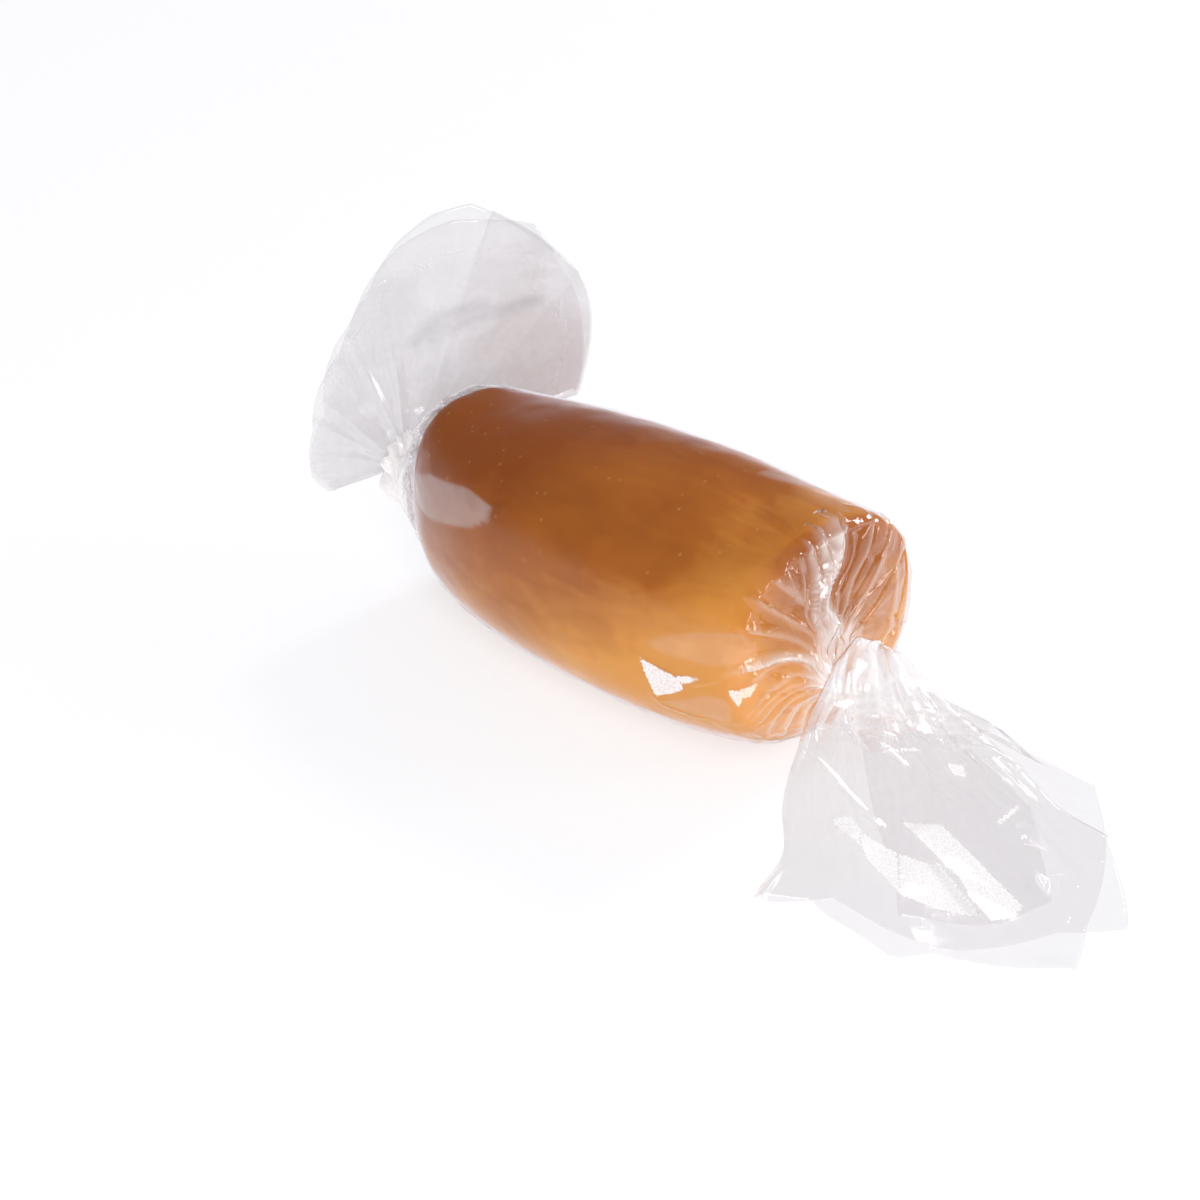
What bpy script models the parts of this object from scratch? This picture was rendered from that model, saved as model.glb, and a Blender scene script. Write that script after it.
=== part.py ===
"""A soft caramel in a square of clear film, twisted shut at both ends.

The candy lies along X on the floor, z = 0. The front tail (+X) turns towards -Y and droops to the
floor, and the rear tail (-X) stands up. Lengths are worked out from the middle of the log, then the
whole is moved so that the origin is under the middle of its overall size.
"""

import math
import random

import bmesh
import bpy
import numpy as np
from mathutils import Matrix, Vector

MM = 0.001

# Driving sizes, in millimetres
FILM_WALL = 0.3  # drawn thicker than the real film, which is about 0.03 mm
CLEARANCE = 0.3  # between the film and the caramel
ROUNDNESS = 2.5  # exponent of the log's section: 2 is an ellipse, more is squarer
REAR_END = -19.9  # where the caramel's rear end stops along X
FRONT_END = 18.6
RIM_IN = 0.5  # from each end of the caramel back to the rim where the film turns in
POINTS_ROUND = 56

# The log's sections over the film: place along X, width, height, height of the centre, shift along Y
LOG_SECTIONS = (
    (-19.4, 11.8, 14.1, 8.5, 0.15),
    (-15.0, 16.2, 15.6, 8.0, 0.0),
    (-7.0, 19.4, 17.2, 8.3, -0.45),
    (4.0, 20.4, 17.9, 8.6, -0.45),
    (12.0, 19.7, 17.1, 8.45, 0.15),
    (18.1, 18.9, 15.7, 9.15, 0.2),
)
END_ROUNDING = 2.0  # how far along X each end of the caramel curves in
END_FACE = 0.35  # size of the flat at each end of the caramel, as a share of the section
END_POWER = 2.4  # exponent of the curve round the caramel's ends

# Pleats of the gathered film
PLEATS = 12
CONE_PLEAT = 0.75  # height of the pleats over the ends of the candy
NECK_PLEAT = 0.3
NECK_RADIUS = 1.7
NECK_TURN = math.radians(27.5)  # how far the pleats turn on their way to the neck
NECK_CURVE = 1.25  # exponent of the cone's profile: more than 1 hollows it towards the neck
CONE_SHARES = (0.06, 0.2, 0.38, 0.58, 0.8)  # sections from the rim to the neck
CONE_BUNCHING = 0.8  # exponent that spaces those sections along X

# The fanned tails
TAIL_OPENING = 0.3  # share of the tail's length over which the gathered film opens out
TAIL_NARROWING = 0.35  # length kept by the part that is still gathered
GAP_AT_NECK = 0.45  # from the middle of the tail to each of its layers
GAP_AT_EDGE = 0.95
TAIL_PLEAT = 0.55
TAIL_WAVE = 0.9  # height of the waves at the free edge
WAVES_ACROSS = 3.2  # per radian across the fan
SIDE_BULGE = 0.12  # keeps the folded sides of the flattened sleeve from pinching

FRONT_NECK = (21.4, -1.0, 9.1)
FRONT_HEADING = math.radians(-26)  # the tail's middle, from +X towards -Y
FRONT_SLOPE = math.radians(16)  # below the horizontal
FRONT_SPREAD = (math.radians(-39), math.radians(38))
# Free edges of a tail's two layers, corner to corner: angle across the fan in degrees, distance from the neck
FRONT_EDGE_ABOVE = (
    (-39, 22.9), (-29, 22.3), (-21, 25.3), (-17, 26.9), (-12, 26.5),
    (-4, 28.0), (5, 30.0), (11, 26.8), (26, 22.0), (38, 18.6),
)
FRONT_EDGE_BELOW = (
    (-39, 22.9), (-25, 21.5), (-8, 26.0), (8, 26.8), (17, 27.8), (23, 24.5), (28, 21.7), (38, 18.6),
)
FRONT_DROOP = 0.3  # how far the corners hang below the middle
FRONT_SHARES = (0.0, 0.06, 0.12, 0.19, 0.27, 0.36, 0.46, 0.57, 0.68, 0.79, 0.9, 1.0)
FRONT_SEED = 3

REAR_NECK = (-24.6, -1.6, 8.5)
REAR_SIDEWAYS = Vector((0.58, 0.81, 0.0))  # the way the standing fan spreads
REAR_LEAN = math.radians(10)  # from upright
REAR_LEAN_WAY = Vector((-1.0, 1.0, 0.0)).normalized()
REAR_SPREAD = (math.radians(-98), math.radians(66))
REAR_EDGE_FRONT = (
    (-98, 6.6), (-70, 6.6), (-29, 9.9), (-11, 13.7), (-1, 17.2), (7, 19.2),
    (15, 20.4), (37, 20.2), (45, 19.9), (53, 18.5), (66, 15.5),
)
REAR_EDGE_BEHIND = (
    (-98, 6.6), (-60, 6.2), (-20, 11.5), (0, 16.6), (12, 19.0), (30, 20.9), (50, 18.2), (66, 15.5),
)
REAR_SHARES = (1.0, 0.9, 0.78, 0.66, 0.54, 0.43, 0.33, 0.24, 0.16, 0.08, 0.0)
REAR_SEED = 8

LOWEST_FOLD = 1.9  # height of the middle of a tail where it lies on the floor
FLOOR_BEND = 0.6  # how gently it levels off there
SLEEVE_SECTIONS = 12
CARAMEL_SECTIONS = 13
END_ANGLES = (0, 25, 45, 65, 90)  # degrees round the curve at each end of the caramel

CARAMEL_COLOUR = (0.43, 0.155, 0.027, 1.0)
FILM_COLOUR = (0.85, 0.85, 0.87, 1.0)


def smooth_between(x, points):
    """A smooth curve through (x, value) points, flat past both ends."""
    xs = [p[0] for p in points]
    if x <= xs[0]:
        return points[0][1]
    if x >= xs[-1]:
        return points[-1][1]
    i = max(k for k in range(len(xs) - 1) if xs[k] <= x)
    slopes = []
    for k in (i, i + 1):
        low, high = max(k - 1, 0), min(k + 1, len(xs) - 1)
        slopes.append((points[high][1] - points[low][1]) / (xs[high] - xs[low]))
    step = xs[i + 1] - xs[i]
    t = (x - xs[i]) / step
    return (
        (2 * t**3 - 3 * t**2 + 1) * points[i][1]
        + (t**3 - 2 * t**2 + t) * step * slopes[0]
        + (3 * t**2 - 2 * t**3) * points[i + 1][1]
        + (t**3 - t**2) * step * slopes[1]
    )


def ease(t):
    """0 below t = 0, 1 above t = 1, smooth between."""
    t = min(1.0, max(0.0, t))
    return t * t * (3 - 2 * t)


def log_section(x):
    """Width, height, centre height and sideways shift of the wrapped log at x."""
    return [smooth_between(x, [(s[0], s[k]) for s in LOG_SECTIONS]) for k in (1, 2, 3, 4)]


def round_angles():
    return [2 * math.pi * k / POINTS_ROUND for k in range(POINTS_ROUND)]


def superellipse(angle):
    """Across and up, each from -1 to 1, of the log's section."""
    c, s = math.cos(angle), math.sin(angle)
    power = 2 / ROUNDNESS
    return math.copysign(abs(c) ** power, c), math.copysign(abs(s) ** power, s)


def pleat(angle, seed):
    """Height of the gathers at this angle, from 0 in a valley to about 1 on a ridge."""
    draw = random.Random(seed)
    heights = [draw.uniform(0.45, 1.0) for _ in range(PLEATS)]
    place = (angle / (2 * math.pi) * PLEATS) % PLEATS
    return heights[int(place)] * (1 - abs(2 * (place % 1.0) - 1))


def log_loop(x, inset, scale=1.0, lowest=None):
    """The log's section at x, this far inside its outer face, as a loop of points."""
    width, height, centre, shift = log_section(x)
    loop = []
    for angle in round_angles():
        across, up = superellipse(angle)
        y = shift + across * (width / 2 - inset) * scale
        z = centre + up * (height / 2 - inset) * scale
        loop.append(Vector((x, y, z if lowest is None else max(z, lowest))))
    return loop


def end_scale(x):
    """1 along the log, less round each end of the caramel."""
    into = max(x - (FRONT_END - END_ROUNDING), REAR_END + END_ROUNDING - x, 0.0) / END_ROUNDING
    return END_FACE + (1 - END_FACE) * (1 - min(1.0, into) ** END_POWER) ** 0.5


def caramel_loops():
    """The caramel from its rear end to its front end, flat where it lies on the film."""
    inset = FILM_WALL + CLEARANCE
    curve = [END_ROUNDING * (1 - math.cos(math.radians(a))) for a in END_ANGLES]
    middle = np.linspace(REAR_END + END_ROUNDING, FRONT_END - END_ROUNDING, CARAMEL_SECTIONS)[1:-1]
    places = [REAR_END + c for c in curve] + [float(x) for x in middle]
    places += [FRONT_END - c for c in reversed(curve)]
    return [log_loop(x, inset, end_scale(x), lowest=inset) for x in places]


def rested(z):
    """A height that levels off where the tail meets the floor."""
    return LOWEST_FOLD + FLOOR_BEND * math.log(1 + math.exp((z - LOWEST_FOLD) / FLOOR_BEND))


def fan_frame(along, sideways):
    """Unit vectors along the fan's middle, across it and out of its plane."""
    along = along.normalized()
    across = (sideways - along * sideways.dot(along)).normalized()
    return along, across, along.cross(across)


def straight_between(x, points):
    return float(np.interp(x, [p[0] for p in points], [p[1] for p in points]))


def fan_loop(neck, frame, share, spread, edges, seed, droop):
    """One loop of a tail, this share of the way from the neck to the free edge.

    The film is a flattened sleeve: half of the loop is one layer, half the other.
    """
    along, across, out = frame
    opened = ease(share / TAIL_OPENING)
    middle, half = (spread[1] + spread[0]) / 2, (spread[1] - spread[0]) / 2
    loop = []
    for angle in round_angles():
        side = math.cos(angle) * (1 + SIDE_BULGE * math.sin(angle) ** 2)
        heading = middle + half * side
        layers = [straight_between(math.degrees(heading), edge) for edge in edges]
        upper = 0.5 + 0.5 * math.tanh(6 * math.sin(angle))
        reach = share * (layers[0] * upper + layers[1] * (1 - upper))
        layer = math.copysign(abs(math.sin(angle)) ** 0.6, math.sin(angle))
        gap = (GAP_AT_NECK + (GAP_AT_EDGE - GAP_AT_NECK) * ease(share)) * opened
        fold = TAIL_PLEAT * (1 - share) * opened * (pleat(angle, seed) - 0.4)
        wave = share**2 * (TAIL_WAVE * math.sin(WAVES_ACROSS * heading + seed) - droop * side**2)
        turned = angle + NECK_TURN * (1 - opened)
        radius = (NECK_RADIUS + NECK_PLEAT * pleat(angle, seed)) * (1 - opened)
        middle_point = (
            neck
            + along * (reach * math.cos(heading) * (TAIL_NARROWING + (1 - TAIL_NARROWING) * opened))
            + across * (reach * math.sin(heading) * opened)
            + out * (wave * opened)
        )
        middle_point.z = rested(middle_point.z)
        loop.append(
            middle_point
            + out * (layer * gap + fold * math.copysign(1, layer))
            + Vector((0, radius * math.cos(turned), radius * math.sin(turned)))
        )
    return loop


def cone_loop(x, neck, share, seed, side):
    """A loop of the gathered film between the candy's end and the neck."""
    width, height, centre, shift = log_section(x)
    squeeze = (1 - share) ** NECK_CURVE
    loop = []
    for angle in round_angles():
        across, up = superellipse(angle)
        ridge = CONE_PLEAT * pleat(angle, seed) * math.sin(math.pi * min(1.0, share + 0.12))
        turned = angle + side * NECK_TURN * share**2
        log_y = shift + across * (width / 2 - FILM_WALL)
        log_z = centre + up * (height / 2 - FILM_WALL)
        thick = NECK_RADIUS + NECK_PLEAT * pleat(angle, seed)
        on_log = Vector((x + side * ridge, log_y, log_z))
        on_neck = Vector((x + side * ridge, neck.y, neck.z))
        on_neck += Vector((0, math.cos(turned), math.sin(turned))) * thick
        loop.append(on_neck.lerp(on_log, squeeze))
    return loop


def front_loops():
    """From the candy's front rim to the free edge of the front tail."""
    neck = Vector(FRONT_NECK)
    rim = FRONT_END - RIM_IN
    loops = []
    for share in CONE_SHARES:
        loops.append(cone_loop(rim + (neck.x - rim) * share**CONE_BUNCHING, neck, share, FRONT_SEED, 1))
    flat = Vector((math.cos(FRONT_HEADING), math.sin(FRONT_HEADING), 0))
    heading = flat * math.cos(FRONT_SLOPE) - Vector((0, 0, math.sin(FRONT_SLOPE)))
    frame = fan_frame(heading, Vector((-flat.y, flat.x, 0)))
    edges = (FRONT_EDGE_ABOVE, FRONT_EDGE_BELOW)
    for share in FRONT_SHARES:
        loops.append(fan_loop(neck, frame, share, FRONT_SPREAD, edges, FRONT_SEED, FRONT_DROOP))
    return loops


def rear_loops():
    """From the free edge of the standing rear tail to the candy's rear rim."""
    neck = Vector(REAR_NECK)
    rim = REAR_END + RIM_IN
    upright = REAR_LEAN_WAY * math.sin(REAR_LEAN) + Vector((0, 0, math.cos(REAR_LEAN)))
    along, across, out = fan_frame(upright, REAR_SIDEWAYS)
    edges = (REAR_EDGE_BEHIND, REAR_EDGE_FRONT)
    loops = []
    for share in REAR_SHARES:
        loops.append(fan_loop(neck, (along, across, -out), share, REAR_SPREAD, edges, REAR_SEED, 0.0))
    for share in reversed(CONE_SHARES):
        loops.append(cone_loop(rim + (neck.x - rim) * share**CONE_BUNCHING, neck, share, REAR_SEED, -1))
    return loops


def sleeve_loops():
    """The inner face of the film along the log, flat where it lies on the floor."""
    places = np.linspace(REAR_END + RIM_IN, FRONT_END - RIM_IN, SLEEVE_SECTIONS)
    return [log_loop(float(x), FILM_WALL, lowest=FILM_WALL) for x in places]


def bridged(name, loops, capped):
    """A mesh object that runs through the loops, closed by a fan at each end if capped."""
    mesh = bpy.data.meshes.new(name)
    build = bmesh.new()
    rings = [[build.verts.new(p * MM) for p in loop] for loop in loops]
    for first, second in zip(rings, rings[1:]):
        for k in range(POINTS_ROUND):
            after = (k + 1) % POINTS_ROUND
            build.faces.new((first[k], second[k], second[after], first[after]))
    if capped:
        for ring in (rings[0], rings[-1]):
            middle = build.verts.new(sum((v.co for v in ring), Vector()) / POINTS_ROUND)
            for k in range(POINTS_ROUND):
                build.faces.new((ring[k], ring[(k + 1) % POINTS_ROUND], middle))
    bmesh.ops.recalc_face_normals(build, faces=build.faces)
    build.to_mesh(mesh)
    build.free()
    mesh.shade_smooth()
    obj = bpy.data.objects.new(name, mesh)
    bpy.context.scene.collection.objects.link(obj)
    return obj


def material(name, colour, roughness, see_through=0.0):
    made = bpy.data.materials.new(name)
    made.use_nodes = True
    shader = made.node_tree.nodes["Principled BSDF"]
    shader.inputs["Base Color"].default_value = colour
    shader.inputs["Roughness"].default_value = roughness
    shader.inputs["Metallic"].default_value = 0.0
    shader.inputs["Transmission Weight"].default_value = see_through
    return made


def make_caramel():
    """The caramel, a closed log with rounded ends."""
    obj = bridged("caramel", caramel_loops(), capped=True)
    obj.data.materials.append(material("caramel", CARAMEL_COLOUR, 0.35))
    return obj


def make_wrapper():
    """One sheet of film: an open sleeve, given its thickness outwards."""
    obj = bridged("wrapper", rear_loops() + sleeve_loops() + front_loops(), capped=False)
    obj.data.materials.append(material("clear_film", FILM_COLOUR, 0.08, 0.9))
    wall = obj.modifiers.new("film thickness", "SOLIDIFY")
    wall.thickness = FILM_WALL * MM
    wall.offset = 1.0
    wall.use_rim = True
    return obj


def main():
    for obj in list(bpy.data.objects):
        bpy.data.objects.remove(obj)
    caramel, wrapper = make_caramel(), make_wrapper()
    corners = [Vector(c) for c in wrapper.evaluated_get(bpy.context.evaluated_depsgraph_get()).bound_box]
    middle = (corners[0] + corners[6]) / 2
    for obj in (caramel, wrapper):
        obj.data.transform(Matrix.Translation((-middle.x, -middle.y, 0)))


main()
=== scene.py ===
import math

import bmesh
import bpy
import numpy as np
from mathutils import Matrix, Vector


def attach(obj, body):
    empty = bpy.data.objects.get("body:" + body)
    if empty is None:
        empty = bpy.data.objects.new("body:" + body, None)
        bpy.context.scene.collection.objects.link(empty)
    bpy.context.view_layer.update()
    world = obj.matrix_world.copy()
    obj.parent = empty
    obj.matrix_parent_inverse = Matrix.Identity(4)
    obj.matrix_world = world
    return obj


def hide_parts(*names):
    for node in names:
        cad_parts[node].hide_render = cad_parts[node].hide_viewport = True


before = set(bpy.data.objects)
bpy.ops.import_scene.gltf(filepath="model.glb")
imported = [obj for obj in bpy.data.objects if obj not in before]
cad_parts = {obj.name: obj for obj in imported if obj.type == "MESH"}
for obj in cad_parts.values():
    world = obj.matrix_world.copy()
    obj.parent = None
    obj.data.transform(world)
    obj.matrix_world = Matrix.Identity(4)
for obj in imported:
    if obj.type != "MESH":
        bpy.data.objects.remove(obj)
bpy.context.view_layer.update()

# Lengths are in millimetres along the log, as in the CAD, then moved so that the origin is under the middle
mm = 0.001
moved = np.array([-8.92, 4.42, 0.0])
log = {
    "x": [-19.4, -15.0, -7.0, 4.0, 12.0, 18.1],
    "width": [11.8, 16.2, 19.4, 20.4, 19.7, 18.9],
    "height": [14.1, 15.6, 17.2, 17.9, 17.1, 15.7],
    "centre": [8.5, 8.0, 8.3, 8.6, 8.45, 9.15],
    "shift": [0.15, 0.0, -0.45, -0.45, 0.15, 0.2],
    "power": 2.5,
    "rear rim": -19.4,
    "front rim": 18.1,
}
# the middle of each gathered neck, and its radius by the sign of its place along X
necks = {"front": np.array([21.2, -1.3, 8.1]), "rear": np.array([-24.0, -1.6, 8.3])}
neckRadius = {1: 1.45, -1: 2.4}


# a smooth curve through the points, flat past both ends
def curveThrough(xs, ys, x):
    xs, ys = np.asarray(xs, float), np.asarray(ys, float)
    ends = np.arange(len(xs))
    low, high = np.maximum(ends - 1, 0), np.minimum(ends + 1, len(xs) - 1)
    slope = (ys[high] - ys[low]) / (xs[high] - xs[low])
    x = np.clip(x, xs[0], xs[-1])
    i = np.clip(np.searchsorted(xs, x, side="right") - 1, 0, len(xs) - 2)
    step = xs[i + 1] - xs[i]
    t = (x - xs[i]) / step
    return (
        (2 * t**3 - 3 * t**2 + 1) * ys[i]
        + (t**3 - 2 * t**2 + t) * step * slope[i]
        + (3 * t**2 - 2 * t**3) * ys[i + 1]
        + (t**3 - t**2) * step * slope[i + 1]
    )


def logAt(x):
    return [curveThrough(log["x"], log[k], x)[:, None] for k in ("width", "height", "centre", "shift")]


def squircle(theta):
    c, s = np.cos(theta), np.sin(theta)
    p = 2 / log["power"]
    return np.sign(c) * np.abs(c) ** p, np.sign(s) * np.abs(s) ** p


def ease(t):
    t = np.clip(t, 0.0, 1.0)
    return t * t * (3 - 2 * t)


# a sum of triangle waves: flat facets that meet in sharp creases
def facetWaves(p, q, waves):
    total = 0
    for size, angle, length, phase in waves:
        v = (p * math.cos(angle) + q * math.sin(angle)) / length + phase
        total = total + size * (1 - 4 * np.abs(v - np.floor(v + 0.5)))
    return total


# a smooth wandering value of about -1 to 1
def softNoise(p, q, length, seed, count=7):
    draw = np.random.default_rng(seed)
    total = 0
    for _ in range(count):
        angle, phase = draw.uniform(0, math.tau, 2)
        scale = math.tau / (length * draw.uniform(0.7, 1.6))
        total = total + np.sin((p * math.cos(angle) + q * math.sin(angle)) * scale + phase)
    return total / math.sqrt(count)


# 1 on a path of points, falling evenly to 0 this far to its right and left;
# scale stretches p and the path's first values
def ridgeOver(p, q, path, wide, scale=1.0):
    best = np.zeros(np.broadcast(p, q).shape)
    for (p0, q0), (p1, q1) in zip(path, path[1:]):
        dp, dq = (p1 - p0) * scale, q1 - q0
        ap, aq = (p - p0) * scale, q - q0
        share = np.clip((ap * dp + aq * dq) / (dp**2 + dq**2 + 1e-9), 0, 1)
        away = np.hypot(ap - share * dp, aq - share * dq)
        best = np.maximum(best, 1 - away / np.where(ap * dq > aq * dp, *wide))
    return best


# more points on the smooth curve through a path
def smoothed(path):
    steps = np.linspace(0, len(path) - 1, 5 * len(path) - 4)
    return list(zip(*(curveThrough(range(len(path)), values, steps) for values in zip(*path))))


# how far each point lies inside a convex outline, less than 0 outside it
def insideBy(p, q, corners):
    corners = np.asarray(corners, float)
    middle = corners.mean(0)
    depth = np.full(np.broadcast(p, q).shape, 99.0)
    for a, b in zip(corners, np.roll(corners, -1, axis=0)):
        inward = np.array([a[1] - b[1], b[0] - a[0]])
        inward = inward / np.linalg.norm(inward)
        inward = inward * np.sign(inward @ (middle - a))
        depth = np.minimum(depth, (p - a[0]) * inward[0] + (q - a[1]) * inward[1])
    return depth


# cells of crumpled film: height with a crease round each, a value of 0 to 1 for each cell,
# and how far the nearest crease is
def crumple(p, q, boxes, count, seed):
    draw = np.random.default_rng(seed)
    places = np.stack([draw.uniform(*b, count) for b in boxes], -1)
    tilts, values = draw.normal(0, 1, (count, 2)), draw.uniform(0, 1, count)
    away = np.stack([np.hypot(p - a, q - b) for a, b in places])
    owner = away.argmin(0)
    nearest = np.partition(away, 1, axis=0)[:2]
    crease = nearest[1] - nearest[0]
    tilted = tilts[owner, 0] * (p - places[owner, 0]) + tilts[owner, 1] * (q - places[owner, 1])
    return np.clip(crease, 0, 0.6) * 0.35 + 0.05 * tilted, values[owner], crease


# unit normals away from the middle of each row, and the direction round the sheet
def framesOf(grid, middle):
    alongRows = np.gradient(grid, axis=0)
    around = np.gradient(grid, axis=1)
    normal = np.cross(around, alongRows)
    normal = normal / (np.linalg.norm(normal, axis=-1, keepdims=True) + 1e-9)
    around = around / (np.linalg.norm(around, axis=-1, keepdims=True) + 1e-9)
    outward = np.sign(np.median(np.einsum("ijk,ijk->ij", normal, grid - middle)))
    return normal * outward, around


# normals averaged over this many rows each way, so that folds go round a rim in a soft arc
def softened(normal, count):
    rows = np.arange(len(normal))
    total = sum(normal[np.clip(rows + k, 0, len(normal) - 1)] for k in range(-count, count + 1))
    return total / np.linalg.norm(total, axis=-1, keepdims=True)


# a mesh of quads over a grid of points in millimetres
def gridMesh(name, grid, wrap=False):
    rows, cols = grid.shape[:2]
    points = (grid + moved) * mm
    index = np.arange(rows * cols).reshape(rows, cols)
    right = np.roll(index, -1, axis=1) if wrap else index[:, 1:]
    left = index if wrap else index[:, :-1]
    quads = np.stack([left[:-1], right[:-1], right[1:], left[1:]], -1).reshape(-1, 4)
    mesh = bpy.data.meshes.new(name)
    mesh.from_pydata(points.reshape(-1, 3).tolist(), [], quads.tolist())
    mesh.shade_smooth()
    made = bpy.data.objects.new(name, mesh)
    bpy.context.scene.collection.objects.link(made)
    return made


def node(tree, kind, **sets):
    made = tree.nodes.new(kind)
    for key, value in sets.items():
        setattr(made, key, value)
    return made


def newGroup(name, ins, outs):
    tree = bpy.data.node_groups.new(name, "ShaderNodeTree")
    for label, kind, value in ins:
        socket = tree.interface.new_socket(label, in_out="INPUT", socket_type="NodeSocket" + kind)
        if value is not None:
            socket.default_value = value
    for label, kind in outs:
        tree.interface.new_socket(label, in_out="OUTPUT", socket_type="NodeSocket" + kind)
    return tree, tree.nodes.new("NodeGroupInput"), tree.nodes.new("NodeGroupOutput")


def math2(tree, operation, a, b=None, c=None):
    made = node(tree, "ShaderNodeMath", operation=operation)
    for k, value in enumerate((a, b, c)):
        if value is None:
            continue
        if isinstance(value, (int, float)):
            made.inputs[k].default_value = value
        else:
            tree.links.new(value, made.inputs[k])
    return made.outputs[0]


def noise(tree, vector, scale, detail=3.0, rough=0.5, distort=0.0):
    made = node(tree, "ShaderNodeTexNoise")
    tree.links.new(vector, made.inputs["Vector"])
    made.inputs["Scale"].default_value = scale
    made.inputs["Detail"].default_value = detail
    made.inputs["Roughness"].default_value = rough
    made.inputs["Distortion"].default_value = distort
    return made.outputs["Fac"]


def mapRange(tree, value, low, high, toLow, toHigh):
    made = node(tree, "ShaderNodeMapRange")
    tree.links.new(value, made.inputs["Value"])
    for label, number in (("From Min", low), ("From Max", high), ("To Min", toLow), ("To Max", toHigh)):
        made.inputs[label].default_value = number
    return made.outputs["Result"]


def mixColour(tree, fac, a, b):
    made = node(tree, "ShaderNodeMix", data_type="RGBA")
    for k, value in ((0, fac), (6, a), (7, b)):
        if isinstance(value, (tuple, float, int)):
            made.inputs[k].default_value = value
        else:
            tree.links.new(value, made.inputs[k])
    return made.outputs[2]


def mixShader(tree, fac, first, second):
    made = node(tree, "ShaderNodeMixShader")
    for k, value in enumerate((fac, first, second)):
        tree.links.new(value, made.inputs[k])
    return made.outputs[0]


def seeThrough(tree, colour):
    made = node(tree, "ShaderNodeBsdfTransparent")
    made.inputs["Color"].default_value = colour
    return made.outputs[0]


def newMaterial(name):
    made = bpy.data.materials.new(name)
    made.use_nodes = True
    tree = made.node_tree
    return made, tree, tree.nodes["Principled BSDF"], tree.nodes.new("ShaderNodeTexCoord").outputs["Object"]


caramelLook = {
    "dark": (0.305, 0.075, 0.0075, 1),
    "middle": (0.47, 0.145, 0.016, 1),
    "gold": (0.85, 0.376, 0.071, 1),
    "speck": (0.80, 0.47, 0.16, 1),
    "scattered": 0.35,
    "scatter": (1.0, 0.35, 0.08),
    "scatter depth": 0.0025,
    "shine": 0.06,
    "bump": 0.0002,
}

tree, groupIn, groupOut = newGroup(
    "caramelColour",
    [("Point", "Vector", None), ("Dark", "Color", caramelLook["dark"]),
     ("Middle", "Color", caramelLook["middle"]), ("Gold", "Color", caramelLook["gold"])],
    [("Colour", "Color"), ("Height", "Float"), ("Rough", "Float")],
)
point = groupIn.outputs["Point"]
split = node(tree, "ShaderNodeSeparateXYZ")
tree.links.new(point, split.inputs[0])
# painted light and shade: darker at the rear and on top, golden towards the front and the lower side, as the
# light falls on it
paintedFrontLight = mapRange(tree, split.outputs["X"], -0.028, 0.009, 0.02, 1.32)
paintedHeightShade = mapRange(tree, split.outputs["Z"], 0.003, 0.016, 0.50, -0.55)
cloud = mapRange(tree, noise(tree, point, 95.0, 3.0, 0.5, 0.6), 0.3, 0.7, -0.2, 0.2)
stretch = node(tree, "ShaderNodeMapping")
tree.links.new(point, stretch.inputs["Vector"])
stretch.inputs["Scale"].default_value = (0.35, 1.0, 1.0)
stretch.inputs["Rotation"].default_value = (0.0, 0.35, 0.25)
streak = mapRange(tree, noise(tree, stretch.outputs[0], 420.0, 4.0, 0.55, 1.2), 0.35, 0.75, -0.06, 0.12)
# painted shade: the front face is darker, most of all on its right
paintedFaceShade = mapRange(tree, split.outputs["X"], 0.0078, 0.0094, 0.0, -0.66)
paintedFaceShade = math2(tree, "MULTIPLY", paintedFaceShade, mapRange(tree, split.outputs["Y"], -0.004, 0.005, 0.35, 1.0))
# the cloud and streaks are the caramel's own mottling; the front face's share is painted shade
mottledAndFaceShade = math2(tree, "ADD", math2(tree, "ADD", cloud, paintedFaceShade), streak)
tone = math2(tree, "ADD", math2(tree, "ADD", paintedFrontLight, paintedHeightShade), mottledAndFaceShade)
deepShare = mapRange(tree, tone, 0.0, 0.55, 0.0, 1.0)
deep = mixColour(tree, deepShare, groupIn.outputs["Dark"], groupIn.outputs["Middle"])
goldShare = mapRange(tree, tone, 0.5, 1.15, 0.0, 1.0)
mottledWithPaintedLight = mixColour(tree, goldShare, deep, groupIn.outputs["Gold"])
speckCells = node(tree, "ShaderNodeTexVoronoi")
tree.links.new(point, speckCells.inputs["Vector"])
speckCells.inputs["Scale"].default_value = 700.0
specks = mapRange(tree, speckCells.outputs["Distance"], 0.05, 0.13, 0.28, 0.0)
tree.links.new(mixColour(tree, specks, mottledWithPaintedLight, caramelLook["speck"]), groupOut.inputs["Colour"])
drawnOut = noise(tree, stretch.outputs[0], 900.0, 3.0, 0.6)
height = math2(tree, "ADD", drawnOut, math2(tree, "MULTIPLY", specks, 0.8))
tree.links.new(height, groupOut.inputs["Height"])
tree.links.new(mapRange(tree, noise(tree, point, 260.0, 3.0), 0.3, 0.7, 0.30, 0.48), groupOut.inputs["Rough"])
caramelColour = tree

caramelMaterial, tree, shader, coords = newMaterial("softCaramel")
paint = node(tree, "ShaderNodeGroup", node_tree=caramelColour)
tree.links.new(coords, paint.inputs["Point"])
tree.links.new(paint.outputs["Colour"], shader.inputs["Base Color"])
tree.links.new(paint.outputs["Rough"], shader.inputs["Roughness"])
bump = node(tree, "ShaderNodeBump")
bump.inputs["Strength"].default_value = 0.12
bump.inputs["Distance"].default_value = caramelLook["bump"]
tree.links.new(paint.outputs["Height"], bump.inputs["Height"])
tree.links.new(bump.outputs[0], shader.inputs["Normal"])
shader.inputs["Subsurface Weight"].default_value = caramelLook["scattered"]
shader.inputs["Subsurface Radius"].default_value = caramelLook["scatter"]
shader.inputs["Subsurface Scale"].default_value = caramelLook["scatter depth"]
shader.inputs["IOR"].default_value = 1.45
shader.inputs["Specular IOR Level"].default_value = caramelLook["shine"]
print("caramel material made")

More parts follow.
